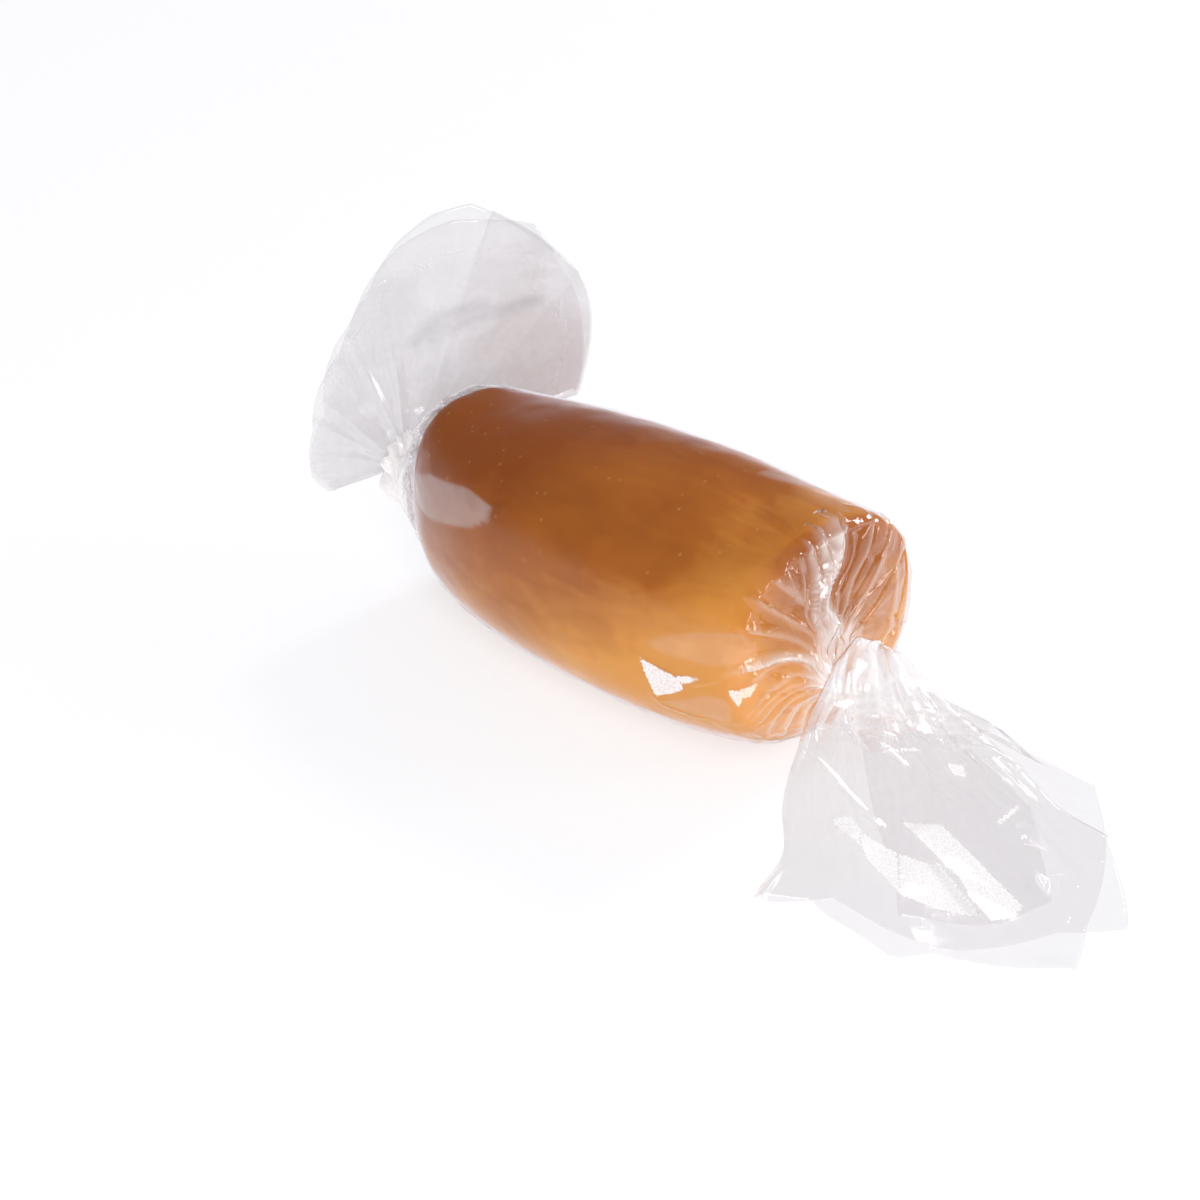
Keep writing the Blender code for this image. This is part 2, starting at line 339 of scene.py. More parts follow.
filmLook = {
    "clear": (0.952, 0.944, 0.947, 1),
    "gloss": (0.98, 0.96, 1.0, 1),
    "haze": (0.88, 0.853, 0.850, 1),
    # the rear and crease haze colours are painted shade, the warm one is painted light from the caramel
    "painted rear shade": (0.74, 0.725, 0.74, 1),
    "painted crease shade": (0.42, 0.41, 0.42, 1),
    "painted caramel light": (0.93, 0.68, 0.48, 1),
    "shade": (0.97, 0.965, 0.97, 1),
    "dull": (0.0, 0.0, 0.0, 1),
    "glow": (1.0, 0.97, 0.95, 1),
    "glow strength": 0.20,
    "clinging": 0.028,  # share reflected straight on where the film clings to the caramel
    "free": 0.065,  # and where there is air on both sides of it
    "least haze": 0.008,
    "most haze": 0.66,
    "bump": 0.00006,
}

filmMaterial, tree, shader, coords = newMaterial("clearFilm")
# read from the mesh: haze with painted light in it, painted glints, air on both sides, and the haze's tint
hazeAndPaintedLight, paintedGlint, free, tint = [
    node(tree, "ShaderNodeAttribute", attribute_name=layer).outputs["Fac"]
    for layer in ("hazeAndPaintedLight", "paintedGlint", "free", "tint")
]
# tint is 1 on the rear tail, whose haze is greyer as painted shade, up to 2 in its creases, painted darker
# still as crease shade, and down to -1 where the haze takes up the caramel's colour as painted light from it
rear = mapRange(tree, tint, 0.0, 1.0, 0.0, 1.0)
paintedCreaseShade = mapRange(tree, tint, 1.0, 2.0, 0.0, 1.0)
paintedCaramelLight = mapRange(tree, tint, -1.0, 0.0, 1.0, 0.0)
hazeColour = mixColour(tree, rear, filmLook["haze"], filmLook["painted rear shade"])
hazeColour = mixColour(tree, paintedCreaseShade, hazeColour, filmLook["painted crease shade"])
hazeColour = mixColour(tree, paintedCaramelLight, hazeColour, filmLook["painted caramel light"])
wrinkles = noise(tree, coords, 6500.0, 1.0, 0.6)
patches = noise(tree, coords, 420.0, 2.0, 0.6)
rough = mapRange(tree, patches, 0.3, 0.7, 0.05, 0.11)
# painted glints: white speckled patches that stand in for light glinting off finely wrinkled film, with crisp
# and slightly ragged edges
glintMask = math2(tree, "MULTIPLY_ADD", wrinkles, 0.35, math2(tree, "ADD", paintedGlint, -0.30))
ragged = math2(tree, "MULTIPLY_ADD", patches, 0.25, glintMask)
inPaintedGlint = mapRange(tree, ragged, 0.0, 0.10, 0.0, 1.0)
paintedGlintSpeckle = math2(tree, "MULTIPLY", inPaintedGlint, mapRange(tree, wrinkles, 0.36, 0.56, 0.78, 0.94))
# white haze where the film is gathered, with painted highlights and reflections in it, and the white of the
# painted glints
uneven = mapRange(tree, patches, 0.35, 0.7, 0.85, 1.15)
amount = mapRange(tree, hazeAndPaintedLight, 0.0, 1.0, filmLook["least haze"], filmLook["most haze"])
haze = math2(tree, "MAXIMUM", math2(tree, "MULTIPLY", uneven, amount), paintedGlintSpeckle)
# painted light: the film glows in tight bundles and in the painted glints, standing in for light caught there
bundleGlow = mapRange(tree, hazeAndPaintedLight, 0.65, 1.0, 0.0, 0.68)
bundleGlow = math2(tree, "MULTIPLY", bundleGlow, math2(tree, "SUBTRACT", 1.0, rear))
paintedGlowShare = math2(tree, "MAXIMUM", math2(tree, "MULTIPLY", paintedGlintSpeckle, 0.8), bundleGlow)
glow = mixColour(tree, paintedGlowShare, filmLook["dull"], filmLook["glow"])
bump = node(tree, "ShaderNodeBump")
bump.inputs["Strength"].default_value = 0.25
bump.inputs["Distance"].default_value = filmLook["bump"]
tree.links.new(wrinkles, bump.inputs["Height"])
tree.links.new(hazeColour, shader.inputs["Base Color"])
tree.links.new(glow, shader.inputs["Emission Color"])
shader.inputs["Emission Strength"].default_value = filmLook["glow strength"]
tree.links.new(rough, shader.inputs["Roughness"])
tree.links.new(bump.outputs[0], shader.inputs["Normal"])
gloss = node(tree, "ShaderNodeBsdfGlossy")
gloss.inputs["Color"].default_value = filmLook["gloss"]
tree.links.new(rough, gloss.inputs["Roughness"])
tree.links.new(bump.outputs[0], gloss.inputs["Normal"])
# the share reflected grows from straight on towards the edge
weight = node(tree, "ShaderNodeLayerWeight")
weight.inputs["Blend"].default_value = 0.5
steep = math2(tree, "POWER", weight.outputs["Facing"], 5.0)
straight = mapRange(tree, free, 0.0, 1.0, filmLook["clinging"], filmLook["free"])
rest = math2(tree, "SUBTRACT", 1.0, straight)
reflected = math2(tree, "MULTIPLY_ADD", steep, rest, straight)
skin = mixShader(tree, haze, seeThrough(tree, filmLook["clear"]), shader.outputs[0])
skin = mixShader(tree, reflected, skin, gloss.outputs[0])
# light and reflections pass straight through to what lies inside
rays = node(tree, "ShaderNodeLightPath")
passing = math2(tree, "MAXIMUM", rays.outputs["Is Shadow Ray"], rays.outputs["Is Glossy Ray"])
skin = mixShader(tree, passing, skin, seeThrough(tree, filmLook["shade"]))
# the inner face of the sheet adds nothing, so that each layer is shaded once
innerFace = node(tree, "ShaderNodeNewGeometry").outputs["Backfacing"]
skin = mixShader(tree, innerFace, skin, seeThrough(tree, (1, 1, 1, 1)))
tree.links.new(skin, tree.nodes["Material Output"].inputs["Surface"])
print("film material made")

caramel = {
    "inset": 0.16, "around": 170, "along": 100,
    # how the log rounds over at each end: mm from the rim, and share of its full width and height
    "rear end": [(-0.65, 0.30), (-0.55, 0.62), (-0.35, 0.80), (-0.05, 0.90), (0.35, 0.955), (0.9, 0.985),
                 (1.8, 1.0)],
    "front end": [(-1.9, 1.0), (-1.0, 0.994), (-0.5, 0.976), (-0.15, 0.945), (0.05, 0.895), (0.22, 0.80),
                  (0.35, 0.64), (0.43, 0.38)],
}


def caramelGrid(c):
    atRear, atFront = np.array(c["rear end"]), np.array(c["front end"])
    atRear[:, 0] += log["rear rim"]
    atFront[:, 0] += log["front rim"]
    middle = np.linspace(atRear[-1, 0], atFront[0, 0], c["along"])[1:-1]
    table = np.concatenate([atRear, np.stack([middle, middle * 0 + 1], -1), atFront])
    # finer steps between the points of the ends, smoothed
    steps = np.linspace(0, len(table) - 1, 2 * len(table))
    x = curveThrough(np.arange(len(table)), table[:, 0], steps)
    scale = curveThrough(np.arange(len(table)), table[:, 1], steps)[:, None]
    theta = np.linspace(0, math.tau, c["around"], endpoint=False)
    width, height, centre, shift = logAt(x)
    across, up = squircle(theta)
    rows, cols = np.meshgrid(x, theta * 8, indexing="ij")
    swell = 1 + 0.004 * softNoise(rows, cols, 9.0, 5) + 0.002 * softNoise(rows, cols, 3.0, 6)
    y = shift + across * (width / 2 - c["inset"]) * scale * swell
    z = centre + up * (height / 2 - c["inset"]) * scale * swell
    grid = np.stack([rows, y, np.maximum(z, 0.4)], -1)
    # rings that shrink to the middle of each end
    shares = np.array([0.04, 0.25, 0.5, 0.75])[:, None, None]
    first, last = grid[0].mean(0), grid[-1].mean(0)
    rear = first + (grid[0] - first) * shares
    front = last + (grid[-1] - last) * shares[::-1]
    return np.concatenate([rear, grid, front])


caramelPoints = caramelGrid(caramel)
caramelPiece = gridMesh("caramelLog", caramelPoints, wrap=True)
build = bmesh.new()
build.from_mesh(caramelPiece.data)
build.verts.ensure_lookup_table()
# one face closes each end
for start in (0, (len(caramelPoints) - 1) * caramel["around"]):
    build.faces.new([build.verts[start + k] for k in range(caramel["around"])])
bmesh.ops.recalc_face_normals(build, faces=build.faces)
build.to_mesh(caramelPiece.data)
build.free()
caramelPiece.data.shade_smooth()
caramelPiece.data.materials.append(caramelMaterial)
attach(caramelPiece, "root")
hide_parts("caramel")
print("caramel made")

# The film is one sheet rolled round the log. Its columns run round the roll and its rows along the candy.
film = {
    "start": 215.0,  # where the outer edge of the roll lies, degrees round the log
    "turn": 470.0,
    "columns": 450,
    "thickness": 0.05,
    "inside": 0.08,  # from the outer face of the solid wrapper in to the film
    "twist": math.radians(70),
    "lowest": 0.08,
    "radius": 9.0,  # of the roll, where a pattern is laid round it
    "cell radius": 7.0,
    "flap": (205, 262),  # degrees between which the outer edge stands off the roll
    "pleats": 20,
}
degrees = film["start"] + film["turn"] * np.linspace(0, 1, film["columns"])
theta = np.radians(degrees)
roll = (degrees - film["start"]) / film["turn"]  # 0 at the outer edge, 1 at the inner one
lift = 0.12 - 0.16 * roll  # outer turns lie further out
flapStand = 0.5 * ease((degrees - film["flap"][0]) / 10) * ease((film["flap"][1] - degrees) / 25)

# pleats of uneven width round the roll: which one each column is in, and how far up its ridge
draw = np.random.default_rng(7)
borders = np.cumsum(np.concatenate([[0], draw.uniform(0.5, 1.5, film["pleats"])]))
borders /= borders[-1]
pleatOf = np.clip(np.searchsorted(borders, roll, side="right") - 1, 0, film["pleats"] - 1)
ridge = 1 - np.abs(2 * (roll - borders[pleatOf]) / (borders[pleatOf + 1] - borders[pleatOf]) - 1)
draw = np.random.default_rng(19)
pleatSize = draw.uniform(0.45, 1.25, film["pleats"])[pleatOf]
pleatLean = np.radians(draw.uniform(35, 76, film["pleats"]))[pleatOf]
pleatOnset = draw.uniform(0.0, 1.0, film["pleats"])[pleatOf]


# pleats of this height, each one leaning over round the roll
def pleats(height, normal, around):
    tall = (height * pleatSize * ridge)[..., None]
    return tall * (normal * np.cos(pleatLean)[:, None] + around * np.sin(pleatLean)[:, None])


# rows of the film at mm past a rim, less than 0 on the log and 9 at the neck:
# the place along X and the share gathered in
def rowsPast(past, rim, neckX):
    share = np.clip(past / 9, 0, 1)
    places = [0.09, 0.19, 0.32, 0.46, 0.62, 0.79, 0.93, 1.0]
    gathered = np.interp(share, places, [0, 0.10, 0.18, 0.24, 0.32, 0.46, 0.72, 1.0])
    x = np.where(past < 0, rim + past * np.sign(neckX), rim + gathered * (neckX - rim))
    shrunk = np.interp(past, [-2.2, -1.2, -0.5, 0.0, 0.81], [0.0, 0.004, 0.03, 0.06, 0.09])
    return x, np.maximum(shrunk, share)


# the smooth film round the log, drawn in to the neck
def sleeveGrid(x, shrunk, neck):
    width, height, centre, shift = logAt(x)
    across, up = squircle(theta)
    y = shift + across * (width / 2 - film["inside"] + lift)
    z = np.maximum(centre + up * (height / 2 - film["inside"] + lift), 0.12)
    s = shrunk[:, None]
    turned = theta + np.sign(neck[0]) * film["twist"] * s**2
    radius = neckRadius[int(np.sign(neck[0]))] + lift * 1.5
    y = y * (1 - s) + (neck[1] + radius * np.cos(turned)) * s
    z = z * (1 - s) + (neck[2] + radius * np.sin(turned)) * s
    return np.stack([np.broadcast_to(x[:, None], y.shape), y, z], -1)


# shallow facets all over the film
def crinkle(x):
    rows, cols = np.meshgrid(x, theta * film["radius"], indexing="ij")
    waves = [(0.05, 0.3, 3.1, 0.1), (0.04, 1.2, 2.3, 0.6), (0.03, 2.3, 1.7, 0.3)]
    return facetWaves(rows + 0.8 * softNoise(rows, cols, 6, 3), cols, waves)


# one piece of the film, with what the material reads from it
def shell(name, grid, hazeAndPaintedLight, paintedGlint, free, tint=0.0, rim=False):
    grid[..., 2] = np.maximum(grid[..., 2], film["lowest"])
    made = gridMesh(name, grid)
    for label, values in (("hazeAndPaintedLight", hazeAndPaintedLight), ("paintedGlint", paintedGlint), ("free", free), ("tint", tint)):
        layer = made.data.attributes.new(label, "FLOAT", "POINT")
        layer.data.foreach_set("value", np.broadcast_to(values, grid.shape[:2]).astype(np.float32).ravel())
    wall = made.modifiers.new("thickness", "SOLIDIFY")
    wall.thickness = film["thickness"] * mm
    wall.offset = 0.0
    wall.use_rim = rim
    made.data.materials.append(filmMaterial)
    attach(made, "root")
    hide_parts("wrapper")
    return grid


# The film over the log and its gathered rear end
body = {
    "seam": -9.5,  # mm past the front rim, where the front end's film takes over
    # a painted reflection at the rear, a patch of haze where loose film would catch the light: mm along the
    # log and degrees round it
    "paintedReflection": [(-20.0, 176), (-19.0, 166), (-15.0, 151), (-9.5, 145), (-6.2, 148), (-5.6, 156), (-8.0, 166),
             (-14.0, 175)],
    "painted reflection haze": 0.38,
    "painted reflection edge": 1 / 3,
}


def bodyFilm(body):
    rear = np.concatenate([np.linspace(9, 0.3, 30), np.linspace(0, -3, 8)])
    x, shrunk = rowsPast(rear, log["rear rim"], necks["rear"][0])
    middle = np.linspace(x[-1], log["front rim"] + body["seam"], 36)[1:]
    x, shrunk = np.concatenate([x, middle]), np.concatenate([shrunk, middle * 0])
    past = np.concatenate([rear, log["rear rim"] - middle])[:, None]
    grid = sleeveGrid(x, shrunk, necks["rear"])
    normal, around = framesOf(grid, grid.mean(1, keepdims=True))
    onset = ease((past + 0.6 + 3.0 * pleatOnset) / (1.6 + 3.0 * pleatOnset))
    grid = grid + pleats((0.2 + 1.1 * np.minimum(shrunk, 0.75)[:, None]) * onset, normal, around)
    loose = 0.25 + 0.9 * ease((past + 3.0) / 3.5) + flapStand
    grid = grid + (crinkle(x) * loose)[..., None] * normal
    boxes = ((26.0, 84.0), (-1.5, 6.8))
    rise, value, crease = crumple(theta * film["cell radius"], past * 0.75, boxes, 95, 8)
    away = ease((past + 0.8) / 1.6)
    grid = grid + ((rise - 0.10) * 1.3 * away)[..., None] * normal
    # painted highlights: white lines of haze on the creases between cells
    lines = np.clip(1 - crease / 0.12, 0, 1) * (value > 0.4)
    hazeAndPaintedLight = away * (0.55 + 0.35 * value + 0.3 * lines) + 0.4 * ease((past - 2.0) / 5)
    corners = [(px, math.radians(a + 360) * film["radius"]) for px, a in body["paintedReflection"]]
    inPaintedReflection = insideBy(x[:, None], theta * film["radius"], corners)
    # painted reflection: more haze inside its outline
    hazeAndPaintedLight = hazeAndPaintedLight + body["painted reflection haze"] * ease(inPaintedReflection / body["painted reflection edge"])
    # a tint of -1 gives the haze the caramel's colour, as painted light from it
    return grid, np.clip(hazeAndPaintedLight, 0, 1), -1.0, ease((past + 0.4) / 1.5)


bodyGrid = shell("filmBody", *bodyFilm(body))

# The gathered front end. A place on it is in degrees round the log and mm past the rim.
# Each fold has its path, its width in mm to the right and left, its height, and for the bright bundles how
# white it is: haze that also takes a painted glow.
frontEnd = {
    "folds": [
        # the bright bundle from the top of the rim down to the neck
        {"path": [(86, -2.6), (89, -0.6), (92, 2.7), (100, 4.4), (99, 5.8), (79, 7.6), (48, 9)],
         "wide": (0.75, 0.6), "tall": 1.05, "white": 1.0},
        {"path": [(80, -1.5), (86, 0.6), (88, 2.9), (94, 4.6), (92, 6), (72, 7.8), (40, 9)],
         "wide": (0.5, 0.6), "tall": 0.85, "white": 1.0},
        {"path": [(92, -1.9), (95, 0.4), (97, 2.8), (105, 4.6), (104, 6), (86, 7.8), (56, 9)],
         "wide": (0.5, 0.5), "tall": 0.95, "white": 0.9},
        {"path": [(99, -1.2), (101, 1.0), (102, 3), (109, 4.8), (108, 6.2), (92, 8)],
         "wide": (0.4, 0.6), "tall": 0.75, "white": 0.8},
        {"path": [(107, -0.6), (107, 1.2), (112, 3.4), (116, 5.4), (104, 7.6)],
         "wide": (0.4, 0.5), "tall": 0.5},
        # thin arcs and lines to the right of it
        {"path": [(83, -0.3), (78, 2.5), (83, 5.2), (74, 7.4)], "wide": (0.25, 0.35), "tall": 0.35},
        {"path": [(68, -2.6), (65, 2.5), (69, 5.2), (58, 8)], "wide": (1.1, 0.4), "tall": 0.30},
        {"path": [(50, -1.6), (46, 2.2), (38, 5.5), (30, 8)], "wide": (0.5, 1.3), "tall": 0.20},
        {"path": [(33, -0.9), (25, 2.1), (2, 3.0), (-23, 3.9), (-34, 6.5)], "wide": (0.5, 1.1), "tall": 0.18},
        {"path": [(12, -0.8), (-4, 1.4), (-32, 2.4), (-44, 5.0)], "wide": (0.4, 0.8), "tall": 0.15},
        # facets on its left
        {"path": [(127, -0.5), (118, 3.5), (90, 7.6)], "wide": (0.5, 1.5), "tall": 0.32},
        {"path": [(113, -0.6), (117, 1.0), (121, 3.2)], "wide": (0.5, 0.3), "tall": 0.30},
        {"path": [(140, -1.4), (139, 1.6), (131, 4.6), (108, 7.8)], "wide": (0.9, 0.5), "tall": 0.45},
        {"path": [(157, -0.4), (153, 2.4), (140, 5.5), (120, 8)], "wide": (0.5, 0.9), "tall": 0.45},
        # the bundle with a looped end, and the thin folds fanned out below it
        {"path": [(187, -4.4), (180, -1.3), (176, 0.7)], "wide": (0.35, 0.5), "tall": 0.30},
        {"path": [(177, 0.3), (170, 2.8), (154, 6.0), (122, 8.3)],
         "wide": (0.55, 0.6), "tall": 0.95, "white": 0.9},
        {"path": [(184, 0.8), (173, 4.0), (150, 7.4)], "wide": (0.4, 0.4), "tall": 0.40},
        {"path": [(199, 1.2), (192, 2.6), (174, 6.4), (158, 8.4)], "wide": (0.4, 0.5), "tall": 0.40},
        {"path": [(209, 0.7), (200, 2.6), (184, 6.6)], "wide": (0.35, 0.5), "tall": 0.32},
        {"path": [(218, 0.8), (209, 1.9), (192, 6.2), (176, 8.4)], "wide": (0.4, 0.5), "tall": 0.40},
        {"path": [(228, 1.0), (219, 2.6), (202, 6.8)], "wide": (0.4, 0.6), "tall": 0.36},
        {"path": [(242, 1.2), (233, 3.0), (216, 7.0)], "wide": (0.5, 0.9), "tall": 0.45},
        {"path": [(258, 1.2), (250, 3.0), (230, 7.4)], "wide": (0.5, 0.9), "tall": 0.40},
        # the far and lower sides
        {"path": [(281, 1.0), (272, 3.4), (252, 7.6)], "wide": (0.5, 1.0), "tall": 0.30},
        {"path": [(300, 1.0), (296, 3.2), (280, 7.4)], "wide": (0.6, 1.1), "tall": 0.30},
        {"path": [(322, 0.4), (316, 3.6), (306, 7.4)], "wide": (0.5, 0.9), "tall": 0.25},
        # creases over the log, where the film lies in flat flaps
        {"path": [(150, 0.6), (157, -0.6), (172, -6.6), (181, -8.4)], "wide": (0.3, 0.9), "tall": 0.20},
        {"path": [(182, -8.4), (202, -7.2), (206, -4.0)], "wide": (0.3, 0.8), "tall": 0.18},
    ],
    # painted glints: finely wrinkled places painted white and speckled, standing in for light glinting off
    # them
    "paintedGlints": [
        [(181, -8.3), (184, -4.9), (190, -4.5), (201, -7.2)],
        [(184, -5.4), (181, -2.6), (188, -4.6)],
        [(184, -0.9), (184, 0.0), (189, 1.0), (195, -0.4), (188, -0.6)],
        [(184, 0.0), (182, 2.5), (189, 1.7), (190, 0.6)],
    ],
    # painted reflections: patches of haze where loose film would catch the light, with the width over which
    # each one fades in from its edge
    "paintedReflections": [
        {"corners": [(180, -8.3), (172, -6.6), (163, -3.4), (157, -0.2), (164, 2.5), (176, 2.5), (180, -2.4),
                     (181, -5.7)], "haze": 0.15, "edge": 0.35},
        {"corners": [(203, -7.3), (187, -2.6), (188, -0.9), (194, -0.4), (206, -0.8), (206, -4.0)],
         "haze": 0.18, "edge": 0.3},
        {"corners": [(88, -10.0), (80, -8.0), (78, -4.0), (76, -0.4), (54, -0.4), (50, -6.0), (54, -12.0)],
         "haze": 0.22, "edge": 0.9},
        {"corners": [(60, 5.4), (42, 2.6), (36, -0.4), (10, -0.2), (-8, 0.6), (-20, 3.0), (20, 6.0)],
         "haze": 0.11, "edge": 0.25},
    ],
}


# how far each point of the front end lies inside an outline on it;
# reach is how far the film is from the middle of the roll
def withinOutline(corners, past, reach):
    middle = sum(a for a, _ in corners) / len(corners)
    angle = (degrees - middle + 180) % 360 - 180
    outline = [(math.radians(a - middle) * 9.4, r) for a, r in corners]
    depth = insideBy(np.radians(angle) * reach, past, outline)
    return np.where(degrees > film["start"] + 360, -1.0, depth)


def frontEndFilm(end):
    rows = np.concatenate([np.linspace(body["seam"], -3.2, 22)[:-1], np.linspace(-3.2, 9, 84)])
    x, shrunk = rowsPast(rows, log["front rim"], necks["front"][0])
    x[0] = log["front rim"] + body["seam"]
    past = rows[:, None]
    grid = sleeveGrid(x, shrunk, necks["front"])
    normal, around = framesOf(grid, grid.mean(1, keepdims=True))
    foldWay = softened(normal, 9)
    reach = (9.3 * (1 - shrunk) + 1.5)[:, None]
    lower = (1 - 0.45 * shrunk)[:, None]
    crest = np.zeros(grid.shape[:2])
    raised = np.zeros(grid.shape)
    draw = np.random.default_rng(23)
    for fold in end["folds"]:
        first, bundle = fold["path"][0], "white" in fold
        angle = (degrees - first[0] + 150) % 360 - 150 + first[0]
        rise = ridgeOver(angle, past, smoothed(fold["path"]), fold["wide"], np.radians(1) * reach)
        # each one starts as a point
        growth = np.clip((past - first[1] + 0.5) / (2.6 if bundle else 1.8), 0.15, 1)
        rise = np.clip(1 - (1 - rise) / growth, 0, 1) * ease((past - first[1] + 0.5) / 2.0)
        lean = math.radians(draw.uniform(5, 38)) * np.sign(fold["wide"][0] - fold["wide"][1] + 0.01)
        # the thick bundles are made of strands
        strands = np.cos(rise * math.tau * 3.5) * np.clip(rise * 4, 0, 1) * bundle
        height = ((rise + 0.08 * strands) * fold["tall"] * lower)[..., None]
        raised += height * (foldWay * math.cos(lean) - around * math.sin(lean) * 0.8)
        edge = np.clip(rise * 1.15, 0, 1) ** (1 if bundle else 2.5)
        crest = np.maximum(crest, edge * (1 + 0.2 * strands) * fold.get("white", 0.4))
    # short pleats that crowd into the neck
    near = ease((past - 6.4) / 2.4)
    raised += pleats(0.35 * near, normal, around)
    loose = 0.25 + 0.3 * ease((past + 2.4) / 3.0) + flapStand
    facets = crinkle(x) * loose * (1 - 0.6 * np.clip(crest, 0, 1))
    away = ease((past + 1.8) / 3.0)
    boxes = ((26.0, 84.0), (-1.8, 5.4))
    rise, value, crease = crumple(theta * film["cell radius"], past * 0.6, boxes, 70, 5)
    cells = (rise - 0.12) * away * (1 - 0.6 * near) * (1 - np.clip(crest * 1.3, 0, 1))
    grid = grid + raised + (facets + cells)[..., None] * normal
    # painted highlights: white lines of haze on the creases between cells
    lines = np.clip(1 - crease / 0.10, 0, 1) * (value > 0.45)
    hazeAndPaintedLight = away * (0.01 + 0.08 * value**2 + 0.15 * lines) + 0.95 * crest * away + 1.0 * near
    for paintedReflection in end["paintedReflections"]:
        hazeAndPaintedLight = hazeAndPaintedLight + paintedReflection["haze"] * ease(withinOutline(paintedReflection["corners"], past, reach) / paintedReflection["edge"])
    # painted glints inside their outlines
    paintedGlint = np.max([withinOutline(corners, past, reach) for corners in end["paintedGlints"]], axis=0)
    # painted light: the haze over the caramel takes its colour, as if lit through by it
    paintedCaramelLightShare = away * (1 - near) * (1 - np.clip(crest, 0, 1))
    return grid, np.clip(hazeAndPaintedLight, 0, 1), paintedGlint, away, -0.85 * paintedCaramelLightShare


frontEndGrid = shell("filmFrontEnd", *frontEndFilm(frontEnd))
print("film round the log made")


